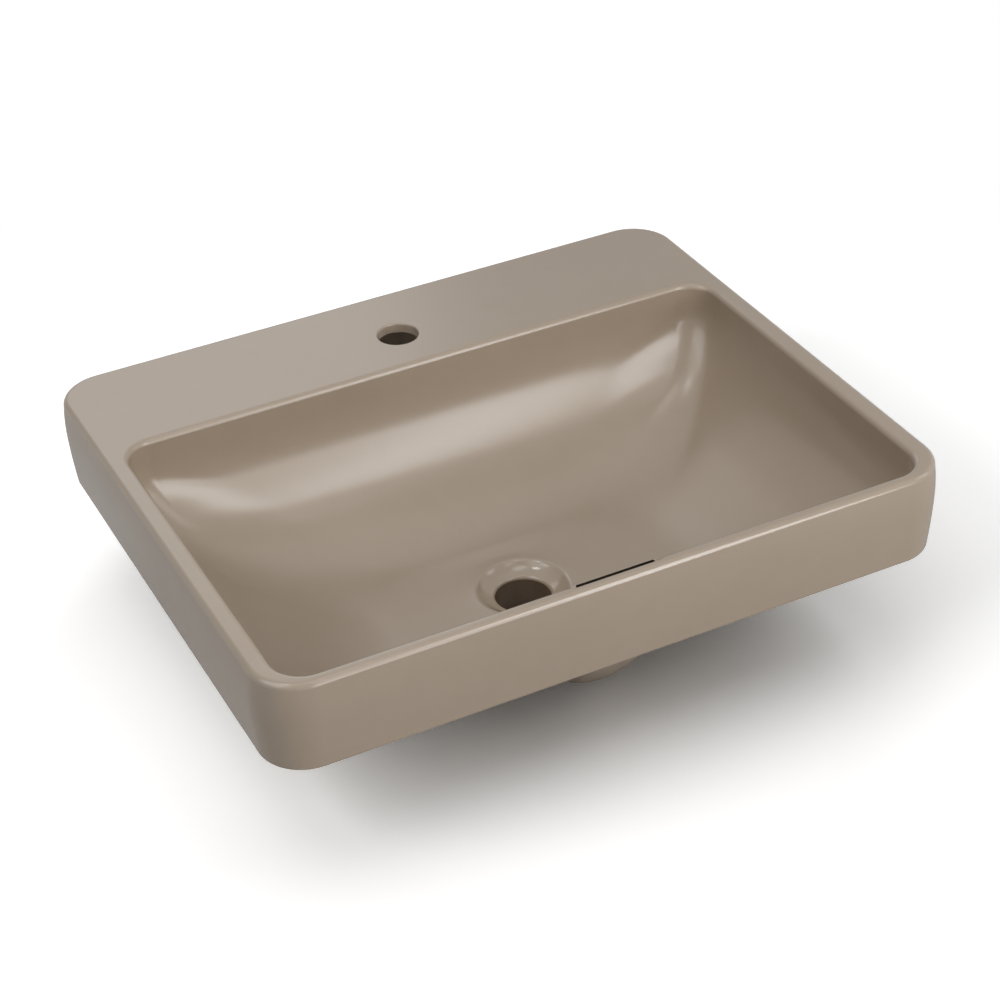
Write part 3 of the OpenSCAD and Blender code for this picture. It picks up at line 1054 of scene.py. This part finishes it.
@dataclass
class Skirt:
    """The upright skirt with the foot that stands on the worktop."""

    cast: Casting
    wall_rows: int = 24
    foot_rows: int = 8
    inner_rows: int = 6

    def build(self, shop: Workshop) -> None:
        """Build the skirt and hand it to the workshop.

        Args:
            shop: Workshop that makes the piece.
        """
        cast = self.cast
        shell = Shell("skirt_glazed")
        foot_in = shell.add(cast.outline(cast.skirt_t, 0.0))
        rows: list[list[int]] = []
        for turn in spread(math.pi / 2.0, 0.0, self.foot_rows):
            inset = cast.foot_inset + cast.foot_r * (1.0 - math.cos(turn))
            rows.append(shell.add(cast.outline(inset, cast.foot_r * (1.0 - math.sin(turn)))))
        for z in spread(cast.foot_r, cast.joint_z, self.wall_rows)[1:]:
            rows.append(shell.add(cast.outline(cast.wall_inset(z), z)))
        shell.band(foot_in, rows[0], Patch.FOOT)
        shell.bands(rows, Patch.SKIN)
        heights = spread(cast.joint_z, 0.0, self.inner_rows)[:-1]
        inner = [shell.add(cast.outline(cast.skirt_t, z)) for z in heights]
        shell.band(rows[-1], inner[0], Patch.JOINT)
        shell.bands([*inner, foot_in], Patch.INSIDE)
        shop.make(shell, "apron")


@dataclass
class Bowl:
    """The dished bowl, a shell that runs out into the flange of the waste outlet."""

    cast: Casting
    inner_rows: tuple[int, int] = (60, 16)
    outer_rows: tuple[int, int] = (30, 8)

    def floor_ring(self, start: Sequence[Vector], end_z: float, share: float) -> list[Vector]:
        """Return a ring on the floor between the wall's foot and the flange.

        Args:
            start: Ring at the foot of the wall.
            end_z: Height at the flange.
            share: Place between the two, from 0 to 1.

        Returns:
            One point for each column.
        """
        t = share
        cast = self.cast
        slope = cast.floor_fall / cast.back_run
        ring: list[Vector] = []
        for point, angle in zip(start, cast.outlet_angles()):
            end_x = cast.flange_r * math.cos(angle)
            end_y = cast.outlet_y + cast.flange_r * math.sin(angle)
            run = math.hypot(end_x - point.x, end_y - point.y)
            drop = point.z - end_z
            steep = min(slope * run, 2.0 * drop)
            z = point.z - steep * t * (1.0 - t) ** 2 - drop * t * t * (3.0 - 2.0 * t)
            ring.append(Vector((mix(point.x, end_x, t), mix(point.y, end_y, t), z)))
        return ring

    def face_rows(self, shell: Shell, ring: Callable[[float], list[Vector]], counts: tuple[int, int],
                  end_z: float) -> list[list[int]]:
        """Store one face of the bowl, from the joint down to the flange.

        Args:
            shell: Shell of the bowl.
            ring: Ring of that face at an angle down the section.
            counts: Rows down the wall and rows over the floor.
            end_z: Height at the flange.

        Returns:
            Point numbers of each row.
        """
        rows = [shell.add(ring(angle)) for angle in spread(0.0, 90.0, counts[0])]
        start = ring(90.0)
        for share in spread(0.0, 1.0, counts[1])[1:]:
            rows.append(shell.add(self.floor_ring(start, end_z, share)))
        return rows

    def build(self, shop: Workshop) -> None:
        """Build the bowl and hand it to the workshop.

        Args:
            shop: Workshop that makes the piece.
        """
        cast = self.cast
        shell = Shell("bowl_glazed")
        inner = self.face_rows(shell, cast.inner_ring, self.inner_rows, cast.flange_z)
        under = self.face_rows(shell, cast.outer_ring, self.outer_rows, cast.flange_z - cast.bowl_t)
        shell.bands(inner, Patch.SKIN)
        shell.band(inner[-1], under[-1], Patch.HOLE_WALL)
        shell.bands(under, Patch.UNDERSIDE)
        shell.band(under[0], inner[0], Patch.JOINT)
        shop.make(shell, "bowl")


@dataclass
class WasteOutlet:
    """The dished ring in the floor, with its bore, the collar and the overflow's port."""

    cast: Casting
    bore_r: float = 23.0
    dish_arcs: tuple[tuple[float, float, int], ...] = (
        (5.5, 40.0, 14),
        (-28.0, 14.0, 12),
        (3.0, 90.0, 10),
    )
    collar_r: float = 36.0
    shoulder_r: float = 52.0
    shoulder_t: float = 5.0
    fillet_r: float = 6.0
    end_z: float = -90.0
    port_half_w: float = 11.0
    port_z: Pair = (-76.0, -65.0)
    port_columns: int = 20
    port_rows: int = 2
    port_clear: float = 0.5
    above_rows: int = 4
    below_rows: int = 3
    collar_rows: int = 2
    fillet_rows: int = 8
    edge: float = 0.8
    joint_gap: float = 0.3
    bed_gap: float = 0.02
    hole_gap: float = 0.05
    turn_gain: float = 1.2

    def warp(self, angle: float, radius: float, share: float) -> float:
        """Turn a column so that the port's sides stay upright planes.

        Args:
            angle: Angle of the column at the flange.
            radius: Radius at which the port cuts the wall.
            share: How much of the turn is used.

        Returns:
            The new angle.
        """
        plan = self.cast.plan
        column = plan.slot_first + plan.slot_steps // 2 + self.port_columns
        limit = self.cast.outlet_angles()[column] + math.pi / 2.0
        goal = math.asin(self.port_half_w / radius)
        turn = math.remainder(angle + math.pi / 2.0, 2.0 * math.pi)
        if abs(turn) <= limit:
            new = turn * goal / limit
        else:
            new = goal + (abs(turn) - limit) * (math.pi - goal) / (math.pi - limit)
            new = math.copysign(new, turn)
        return mix(turn, new, share) - math.pi / 2.0

    def circle(self, radius: float, z: float, cut: float, share: float) -> list[Vector]:
        """Return a circle round the outlet's axis.

        Args:
            radius: Its radius.
            z: Its height.
            cut: Radius at which the port cuts the wall.
            share: How much the columns turn for the port.

        Returns:
            One point for each column.
        """
        points = []
        for angle in self.cast.outlet_angles():
            turn = self.warp(angle, cut, share)
            points.append(Vector((radius * math.cos(turn), self.cast.outlet_y + radius * math.sin(turn), z)))
        return points

    def build(self, shop: Workshop) -> None:
        """Build the outlet and hand it to the workshop.

        Args:
            shop: Workshop that makes the piece.
        """
        cast = self.cast
        shell = Shell("waste_outlet_glazed")
        middle = cast.plan.slot_first + cast.plan.slot_steps // 2
        port = range(middle - self.port_columns, middle + self.port_columns)
        bore, bore_port = self.build_bore(shell, port)
        collar, collar_port = self.build_collar(shell, port, bore[-1])
        shell.band(collar[-1], bore[0], Patch.HOLE_WALL)
        shell.band(bore_port, collar_port, Patch.PORT)
        shop.make(shell, "drain_outlet")

    def tube(self, shell: Shell, radius: float, heights: Sequence[float]) -> list[list[int]]:
        """Store a circle of an upright wall at each height and return their point numbers."""
        return [shell.add(self.circle(radius, z, radius, 1.0)) for z in heights]

    def port_loop(self, rows: Sequence[Sequence[int]], port: range) -> list[int]:
        """Return the loop round the port in a wall.

        Args:
            rows: Rows of the wall from the port's top to its bottom.
            port: Columns of the port.

        Returns:
            Point numbers of the loop.
        """
        first, last = port.start, port.stop
        loop = [rows[0][i] for i in range(first, last + 1)]
        loop += [row[last] for row in rows[1:-1]]
        loop += [rows[-1][i] for i in range(last, first - 1, -1)]
        loop += [row[first] for row in rows[-2:0:-1]]
        return loop

    def build_bore(self, shell: Shell, port: range) -> tuple[list[list[int]], list[int]]:
        """Build the dish, the throat and the bore.

        Args:
            shell: Shell of the outlet.
            port: Columns of the port.

        Returns:
            The rows, and the loop round the port.
        """
        profile = self.dish_profile()
        rows = []
        for radius, z in profile:
            share = (profile[0][0] - radius) / (profile[0][0] - self.bore_r)
            rows.append(shell.add(self.circle(radius, z, self.bore_r, ease(share * self.turn_gain))))
        port_low, port_high = self.port_z
        above = spread(profile[-1][1], port_high, self.above_rows)[1:]
        middle = spread(port_high, port_low, self.port_rows)[1:]
        below = spread(port_low, self.end_z + self.edge, self.below_rows)[1:]
        top = self.tube(shell, self.bore_r, above)
        hole = [top[-1], *self.tube(shell, self.bore_r, middle)]
        tail = [hole[-1], *self.tube(shell, self.bore_r, below)]
        shell.bands(rows, Patch.SKIN)
        shell.bands([rows[-1], *top], Patch.WASTE_BORE)
        for first, second in zip(hole, hole[1:]):
            shell.band(first, second, Patch.WASTE_BORE, port)
        shell.bands(tail, Patch.WASTE_BORE)
        return [rows[0], tail[-1]], self.port_loop(hole, port)

    def dish_profile(self) -> list[Pair]:
        """Return the dish from the flange to the bore: a ledge, a lip, a funnel and a throat.

        Returns:
            Radius and height of each ring.
        """
        arcs = []
        slope = 0.0
        for bend, end, steps in self.dish_arcs:
            arcs.append((bend, slope, math.radians(end), steps))
            slope = math.radians(end)
        radius = self.bore_r + sum(bend * (math.sin(end) - math.sin(start)) for bend, start, end, _ in arcs)
        z = self.cast.flange_z
        points = [(self.cast.flange_r, z), (radius, z)]
        for bend, start, end, steps in arcs:
            radius, z = points[-1]
            for turn in spread(start, end, steps)[1:]:
                across = bend * (math.sin(turn) - math.sin(start))
                points.append((radius - across, z - bend * (math.cos(start) - math.cos(turn))))
        return points

    def build_collar(self, shell: Shell, port: range,
                     bore_end: list[int]) -> tuple[list[list[int]], list[int]]:
        """Build the outlet's end, its collar and the shoulder.

        Args:
            shell: Shell of the outlet.
            port: Columns of the port.
            bore_end: Last row of the bore.

        Returns:
            The last rows, and the loop round the port.
        """
        cast = self.cast
        edge = self.edge
        end = [bore_end]
        for radius in (self.bore_r + edge, self.collar_r - edge):
            end.append(shell.add(self.circle(radius, self.end_z, self.collar_r, 1.0)))
        end.append(shell.add(self.circle(self.collar_r, self.end_z + edge, self.collar_r, 1.0)))
        shell.bands(end, Patch.END)
        under_z = cast.flange_z - cast.bowl_t
        shoulder_low = under_z - self.joint_gap - self.shoulder_t
        fillet_z = shoulder_low - self.fillet_r
        port_low = self.port_z[0]
        below = spread(self.end_z + edge, port_low, self.collar_rows)[1:]
        beside = spread(port_low, fillet_z - self.port_clear, self.port_rows)[1:]
        wall = [end[-1], *self.tube(shell, self.collar_r, below)]
        hole = [wall[-1], *self.tube(shell, self.collar_r, beside)]
        upper = [hole[-1]]
        for turn in spread(0.0, math.pi / 2.0, self.fillet_rows):
            radius = self.collar_r + self.fillet_r * (1.0 - math.cos(turn))
            z = fillet_z + self.fillet_r * math.sin(turn)
            upper.append(shell.add(self.circle(radius, z, self.collar_r, 1.0)))
        shell.bands(wall, Patch.COLLAR)
        for first, second in zip(hole, hole[1:]):
            shell.band(first, second, Patch.COLLAR, port)
        shell.bands(upper, Patch.COLLAR)
        rim = [upper[-1]]
        profile = [
            (self.shoulder_r - edge, shoulder_low),
            (self.shoulder_r, shoulder_low + edge),
            (self.shoulder_r, under_z - edge),
            (self.shoulder_r - edge, under_z - self.bed_gap),
        ]
        for radius, z in profile:
            rim.append(shell.add(self.circle(radius, z, self.collar_r, 1.0)))
        shell.bands(rim, Patch.SHOULDER)
        inner_r = cast.flange_r - self.hole_gap
        inner = shell.add(self.circle(inner_r, under_z - self.bed_gap, self.collar_r, 0.0))
        shell.band(rim[-1], inner, Patch.JOINT)
        return [rim[-1], inner], self.port_loop(hole[::-1], port)


@dataclass
class OverflowCover:
    """The half round cover of the channel from the overflow pocket to the outlet."""

    cast: Casting
    start_y: float = -228.7
    end_y: float = -93.0
    end_r: float = 31.0
    front_z: float = 2.0
    drop: float = 84.0
    bend: float = 2.8
    half_ws: Pair = (37.0, 24.0)
    wall: float = 6.0
    flare: float = 5.0
    flare_from: float = 1.0
    crowding: float = 1.4
    sink: float = 1.5
    rows: int = 44
    columns: int = 56

    def bowl_under(self, y: float) -> float:
        """Return the height of the bowl's outer face above the channel.

        Args:
            y: Place from front to back.

        Returns:
            The height.
        """
        cast = self.cast
        run = cast.front_run + cast.front_wall_t
        share = (cast.mouth_front_y + cast.front_run - y) / run
        return cast.wall_z(math.acos(min(1.0, max(0.0, share))), cast.bowl_t)

    def section(self, share: float, wall: float) -> list[Vector]:
        """Return one section of the cover.

        Args:
            share: Place along the channel, from 0 at the skirt to 1 in the collar.
            wall: How far the section lies inside the outer face.

        Returns:
            Points from the left edge to the right one.
        """
        points = []
        for turn in spread(-math.pi / 2.0, math.pi / 2.0, self.columns):
            side = math.sin(turn)
            reach = self.half_ws[1] * side
            stop = self.cast.outlet_y - math.sqrt(self.end_r**2 - reach**2)
            y = mix(self.start_y, stop, share**self.crowding)
            along = (y - self.start_y) / (self.end_y - self.start_y)
            half_w = mix(self.half_ws[0], self.half_ws[1], min(1.0, along)) - wall
            low = self.front_z - self.drop * (1.0 - max(0.0, 1.0 - along) ** self.bend) + wall
            high = self.bowl_under(y) + self.sink
            edge = max(0.0, (abs(turn) - self.flare_from) / (math.pi / 2.0 - self.flare_from)) ** 2
            flare = self.flare * edge if wall == 0.0 else 0.0
            x = half_w * side + math.copysign(flare, side)
            points.append(Vector((x, y, low + (high - low) * (1.0 - math.cos(turn)))))
        return points

    def build(self, shop: Workshop) -> None:
        """Build the cover and hand it to the workshop.

        Args:
            shop: Workshop that makes the piece.
        """
        shell = Shell("overflow_cover_glazed")
        shares = spread(0.0, 1.0, self.rows)
        outer = [shell.add(self.section(share, 0.0)) for share in shares]
        inner = [shell.add(self.section(share, self.wall)) for share in shares]
        shell.bands(outer, Patch.COVER, closed=False)
        shell.bands(inner, Patch.CHANNEL, closed=False)
        shell.band(outer[0], inner[0], Patch.JOINT, closed=False)
        shell.band(outer[-1], inner[-1], Patch.JOINT, closed=False)
        for side in (0, -1):
            shell.band([row[side] for row in outer], [row[side] for row in inner], Patch.EDGE, closed=False)
        shop.make(shell, "overflow_cover")


@dataclass
class DeckRibs:
    """The two ribs under the tap deck, which keep the frame's shape."""

    nodes: tuple[str, str] = ("deck_rib_left", "deck_rib_right")

    def dress(self, shop: Workshop) -> None:
        """Give the ribs the finish of bare clay.

        Args:
            shop: Workshop that has the finish.
        """
        for name in self.nodes:
            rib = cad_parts[name]
            rib.data.materials.clear()
            rib.data.materials.append(shop.finishes[Finish.BARE_CLAY])
            LOG.info("dressed %s", name)


class Lights(Enum):
    """What a lamp lights, as the state of the floor in its light linking."""

    BASIN = "EXCLUDE"
    FLOOR = "INCLUDE"


@dataclass(frozen=True)
class Softbox:
    """One soft white lamp that faces the basin.

    The azimuth runs from the front towards the right, and both angles are in degrees.
    """

    name: str
    azimuth: float
    elevation: float
    distance: float
    width: float
    height: float
    radiance: float
    lights: Lights = Lights.BASIN
    aim: Triple = (0.0, 0.0, 0.02)

    def build(self, floor: bpy.types.Object) -> None:
        """Hang the lamp and point it at the basin.

        Args:
            floor: Floor, which is either all that the lamp lights or all that it leaves unlit.
        """
        lamp = bpy.data.lights.new(self.name, "AREA")
        lamp.shape = "RECTANGLE"
        lamp.size = self.width
        lamp.size_y = self.height
        lamp.energy = self.radiance * math.pi * self.width * self.height
        holder = put(self.name, lamp)
        turn = math.radians(self.azimuth)
        rise = math.radians(self.elevation)
        away = Vector((math.sin(turn) * math.cos(rise), -math.cos(turn) * math.cos(rise), math.sin(rise)))
        holder.location = Vector(self.aim) + away * self.distance
        holder.rotation_euler = away.to_track_quat("Z", "Y").to_euler()
        linked = bpy.data.collections.new(self.name + "_linked")
        linked.objects.link(floor)
        linked.collection_objects[0].light_linking.link_state = self.lights.value
        holder.light_linking.receiver_collection = linked


@dataclass
class Studio:
    """The pale floor, the soft lamps, the white surroundings and the camera."""

    floor_z: float = -0.0902
    floor_r: float = 9.0
    floor_steps: int = 96
    floor_grey: Colour = (0.6, 0.6, 0.6, 1.0)
    floor_shown: Colour = (1.3, 1.3, 1.3, 1.0)
    floor_lift: float = 0.015
    fade: Pair = (0.5, 0.9)
    camera_at: Triple = (-0.6845, -1.4580, 1.1058)
    azimuth: float = -0.4399356
    elevation: float = 0.5977500
    roll: float = -0.0479094
    lens: float = 85.946
    sensor: float = 36.0
    shift: Pair = (0.00943, -0.00443)

    def build(self) -> None:
        """Build the studio."""
        floor = self.build_floor()
        self.build_world()
        self.build_camera()
        for lamp in self.lamps():
            lamp.build(floor)
        bpy.context.scene.view_settings.view_transform = "Standard"

    @staticmethod
    def lamps() -> list[Softbox]:
        """Return the studio's lamps.

        Returns:
            The lamps that light the basin, then those that light the floor.
        """
        # Name, azimuth, elevation, distance, width, height and radiance
        return [
            Softbox("overhead_softbox", 200.0, 76.0, 1.7, 2.0, 1.4, 0.4),
            Softbox("small_top_softbox", 20.0, 84.0, 1.9, 0.6, 0.5, 2.0),
            Softbox("small_back_softbox", -112.0, 73.0, 1.9, 0.27, 0.27, 8.5),
            Softbox("high_front_softbox", 20.0, 61.0, 2.0, 0.6, 0.45, 1.3),
            Softbox("tall_window", 26.0, 27.0, 2.0, 0.5, 1.6, 6.8),
            Softbox("window_side", 10.0, 27.0, 2.0, 0.5, 1.6, 2.1),
            Softbox("low_front_softbox", 10.0, 8.0, 2.0, 1.0, 0.45, 3.4),
            Softbox("right_softbox", 70.0, 34.0, 2.0, 0.62, 1.0, 2.0),
            Softbox("left_softbox", -80.0, 42.0, 2.0, 1.4, 1.2, 2.1),
            Softbox("high_left_softbox", -80.0, 60.0, 2.0, 1.2, 0.8, 1.1),
            Softbox("back_softbox", 175.0, 33.0, 2.2, 1.2, 0.9, 1.2),
            Softbox("floor_overhead", 200.0, 76.0, 1.7, 2.0, 1.4, 1.43, Lights.FLOOR),
            Softbox("floor_front_left", -25.0, 35.0, 2.0, 1.0, 1.0, 1.47, Lights.FLOOR),
            Softbox("floor_left", -80.0, 35.0, 2.0, 1.4, 1.2, 4.47, Lights.FLOOR),
            Softbox("floor_right", 85.0, 35.0, 2.0, 1.4, 1.2, 2.18, Lights.FLOOR),
            Softbox("floor_right_back", 135.0, 35.0, 2.0, 1.2, 1.0, 2.21, Lights.FLOOR),
        ]

    @staticmethod
    def ray(graph: Graph, kind: str) -> Signal:
        """Return 1 where a ray is of a kind."""
        return graph.node("LightPath", {}, {}, "Is " + kind + " Ray")

    def seen(self, graph: Graph) -> Signal:
        """Return 1 where a ray comes from the camera, or shows in metal or glass."""
        mirrored = graph.math("MAXIMUM", self.ray(graph, "Glossy"), self.ray(graph, "Transmission"))
        return graph.math("MAXIMUM", self.ray(graph, "Camera"), mirrored)

    def build_floor(self) -> bpy.types.Object:
        """Lay a round pale floor that keeps the basin's shadow.

        Returns:
            The floor.
        """
        mesh = bpy.data.meshes.new("floor")
        work = bmesh.new()
        bmesh.ops.create_circle(work, cap_ends=True, segments=self.floor_steps, radius=self.floor_r)
        work.to_mesh(mesh)
        work.free()
        floor = put("floor", mesh)
        floor.location.z = self.floor_z
        made, graph, place = new_material("pale_floor")
        reach = graph.node("VectorMath", {"operation": "LENGTH"}, {0: place}, "Value")
        far = graph.rise(reach, *self.fade)
        matt = graph.node("BsdfDiffuse", {}, {"Color": self.floor_grey})
        pale = graph.node("BsdfDiffuse", {}, {"Color": self.floor_shown})
        lift = graph.node("Emission", {}, {"Color": WHITE, "Strength": self.floor_lift})
        lit = graph.node("AddShader", {}, {0: pale, 1: lift})
        near = graph.node("MixShader", {}, {0: self.ray(graph, "Camera"), 1: matt, 2: lit})
        white = graph.node("Emission", {}, {"Color": WHITE, "Strength": 1.0})
        shown = graph.node("MixShader", {}, {0: far, 1: near, 2: white})
        both = graph.node("MixShader", {}, {0: self.seen(graph), 1: matt, 2: shown})
        graph.node("OutputMaterial", {}, {"Surface": both})
        mesh.materials.append(made)
        return floor

    def build_world(self) -> None:
        """Surround the basin with white that is seen and mirrored but lights nothing matt."""
        world = bpy.data.worlds.new("surroundings")
        world.use_nodes = True
        bpy.context.scene.world = world
        graph = Graph(world.node_tree)
        back = graph.node("Background", {}, {"Color": WHITE, "Strength": self.seen(graph)})
        graph.node("OutputWorld", {}, {"Surface": back})

    def build_camera(self) -> None:
        """Set the camera where the photograph was taken from."""
        data = bpy.data.cameras.new("camera")
        data.sensor_width = self.sensor
        data.lens = self.lens
        data.shift_x, data.shift_y = self.shift
        camera = put("camera", data)
        level = math.cos(self.elevation)
        rise = math.sin(self.elevation)
        back = Vector((math.sin(self.azimuth) * level, -math.cos(self.azimuth) * level, rise))
        right = (-back).cross(Vector((0.0, 0.0, 1.0))).normalized()
        up = right.cross(-back)
        side = math.cos(self.roll) * right + math.sin(self.roll) * up
        top = -math.sin(self.roll) * right + math.cos(self.roll) * up
        turn = Matrix((side, top, back)).transposed().to_4x4()
        camera.matrix_world = Matrix.Translation(Vector(self.camera_at)) @ turn
        bpy.context.scene.camera = camera


def main() -> None:
    """Build the basin and its studio in order."""
    logging.basicConfig(level=logging.INFO, format="%(name)s: %(message)s")
    Studio().build()
    shop = Workshop()
    cast = Casting()
    for part in (RimAndTapDeck(cast), Skirt(cast), Bowl(cast), WasteOutlet(cast), OverflowCover(cast)):
        part.build(shop)
    DeckRibs().dress(shop)
    shop.share_normals()
    bpy.context.view_layer.update()


if __name__ == "__main__":
    main()
